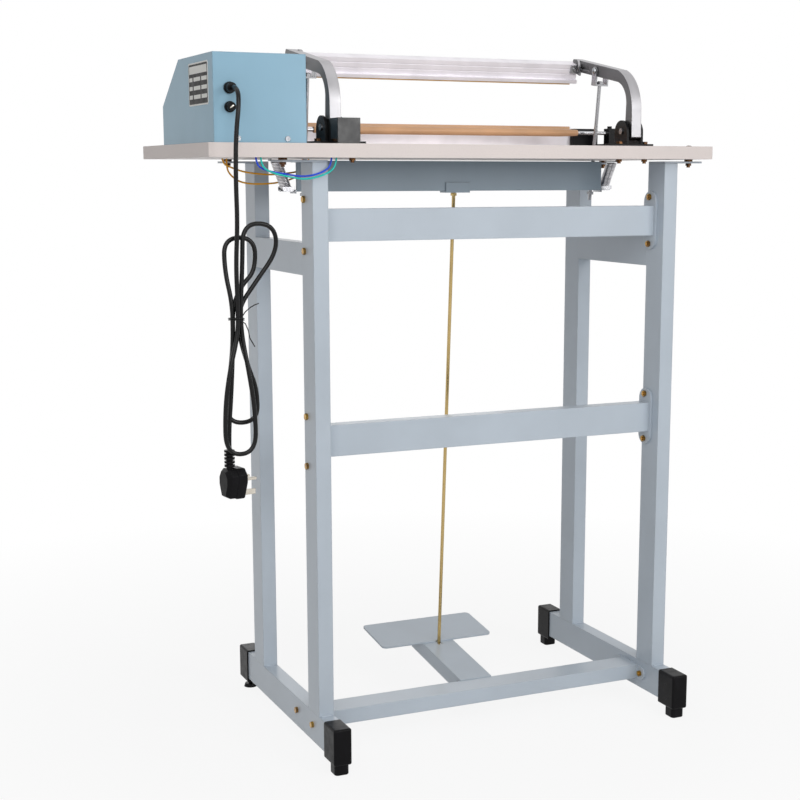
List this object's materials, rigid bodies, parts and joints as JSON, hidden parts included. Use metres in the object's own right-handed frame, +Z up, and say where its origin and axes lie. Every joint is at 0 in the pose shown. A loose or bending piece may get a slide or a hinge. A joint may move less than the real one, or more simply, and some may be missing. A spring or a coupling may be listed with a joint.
{
  "type": "foot pedal impulse heat sealer",
  "caption": "Impulse heat sealer on a tube stand with a table: pressing the foot pedal pulls the hinged sealing jaw down; side control box with timer knob, switch and corded plug.",
  "frame": {"origin": "on the floor, below the middle of the table's length and of the foot tubes' length", "axes": "+Z up, +X to the operator's right, -Y towards the operator"},
  "size_m": [0.873, 0.4988, 1.132],
  "materials": {
    "stand_paint": "satin",
    "zinc_yellow": "satin",
    "black_plastic": "matte",
    "black_rubber": "matte",
    "laminate": "satin",
    "black_paint": "satin",
    "bright_steel": "brushed",
    "cast_aluminium": "cast",
    "bar_aluminium": "extruded",
    "silicone": "matte",
    "tan_cloth": "matte",
    "box_paint": "satin",
    "inner_plastic": "matte",
    "lamp_red": "gloss",
    "core_steel": "matte",
    "board_green": "matte",
    "lead_yellow": "gloss",
    "lead_blue": "gloss",
    "pin_brass": "polished"
  },
  "bodies": {
    "stand": {"bracket_bolts": "bright_steel", "cloth_cover": "tan_cloth", "cloth_roll": "tan_cloth", "cloth_roll_rod": "bright_steel", "control_box_base": "box_paint", "control_box_cover": "box_paint", "cord_gland": "black_plastic", "cord_tie": "black_plastic", "cover_screws": "bright_steel", "foot_end_caps": "black_plastic", "foot_tubes": "stand_paint", "frame_bolts": "zinc_yellow", "front_legs": "stand_paint", "fuse_holder": "black_plastic", "heater_leads": "lead_yellow", "heating_element": "bright_steel", "hinge_brackets": "black_paint", "hinge_pins": "bright_steel", "indicator_lamp": "lamp_red", "jaw_end_blocks": "black_plastic", "leg_top_plates": "stand_paint", "levelling_foot": "black_rubber", "lower_crossbar": "stand_paint", "lower_jaw_base": "bar_aluminium", "microswitch": "inner_plastic", "pedal_pivot_pin": "bright_steel", "plug_pins": "pin_brass", "power_cord": "black_rubber", "power_plug": "black_plastic", "power_switch_body": "black_plastic", "rear_crossbars": "stand_paint", "rear_legs": "stand_paint", "return_springs": "bright_steel", "roll_posts": "black_paint", "side_rails": "stand_paint", "spring_anchors": "bright_steel", "switch_housing": "black_plastic", "switch_leads": "lead_blue", "table_bolts": "zinc_yellow", "tabletop": "laminate", "timer_board": "board_green", "timer_unit": "inner_plastic", "transformer": "core_steel"},
    "jaw": {"left_arm": "cast_aluminium", "right_arm": "cast_aluminium", "upper_sealing_bar": "bar_aluminium", "silicone_strip": "silicone", "bar_lugs": "bright_steel", "pull_pins": "bright_steel"},
    "right_pull": {"right_pull_fork": "bright_steel", "right_pull_rod": "bright_steel"},
    "left_pull": {"left_pull_fork": "bright_steel", "left_pull_rod": "bright_steel"},
    "beam": {"pull_beam": "zinc_yellow", "spring_hooks": "bright_steel", "pedal_rod": "zinc_yellow"},
    "pedal": {"pedal_lever": "stand_paint", "foot_plate": "stand_paint"},
    "knob": {"timer_knob": "black_plastic"},
    "rocker": {"power_switch_rocker": "black_plastic"}
  },
  "joints": [
    {"name": "pedal_hinge", "type": "hinge", "parent": "stand", "child": "pedal", "pos_m": [-0.0585, 0.07, 0.0585], "axis": [1, 0, 0], "range_deg": [0, 17.98]},
    {"name": "jaw_hinge", "type": "hinge", "parent": "stand", "child": "jaw", "pos_m": [-0.044, 0.135, 1.003], "axis": [1, 0, 0], "range_deg": [0, 22]},
    {"name": "beam_slide", "type": "slide", "parent": "stand", "child": "beam", "axis": [0, 0, -1], "range_m": [0, 0.0453], "stiffness_N_per_m": 600, "springref_m": -0.02, "deforming": ["return_springs"]},
    {"name": "right_pull_hinge", "type": "hinge", "parent": "jaw", "child": "right_pull", "pos_m": [0.223, 0.038, 1.107], "axis": [1, 0, 0], "range_deg": [-12, 0]},
    {"name": "left_pull_hinge", "type": "hinge", "parent": "jaw", "child": "left_pull", "pos_m": [-0.311, 0.038, 1.107], "axis": [1, 0, 0], "range_deg": [-12, 0]},
    {"name": "timer_turn", "type": "hinge", "parent": "stand", "child": "knob", "pos_m": [0.3315, -0.03719, 1.07474], "axis": [0, -0.5605, 0.8282], "range_deg": [-270, 0]},
    {"name": "power_rock", "type": "hinge", "parent": "stand", "child": "rocker", "pos_m": [0.3915, -0.05153, 1.06383], "axis": [1, 0, 0], "range_deg": [-14, 0]}
  ],
  "couplings": [
    {"joint": "jaw_hinge", "follows": "pedal_hinge", "ratio": 1.2236},
    {"joint": "beam_slide", "follows": "pedal_hinge", "m_per_rad": 0.14436},
    {"joint": "right_pull_hinge", "follows": "pedal_hinge", "ratio": -0.65462},
    {"joint": "left_pull_hinge", "follows": "pedal_hinge", "ratio": -0.65462}
  ]
}
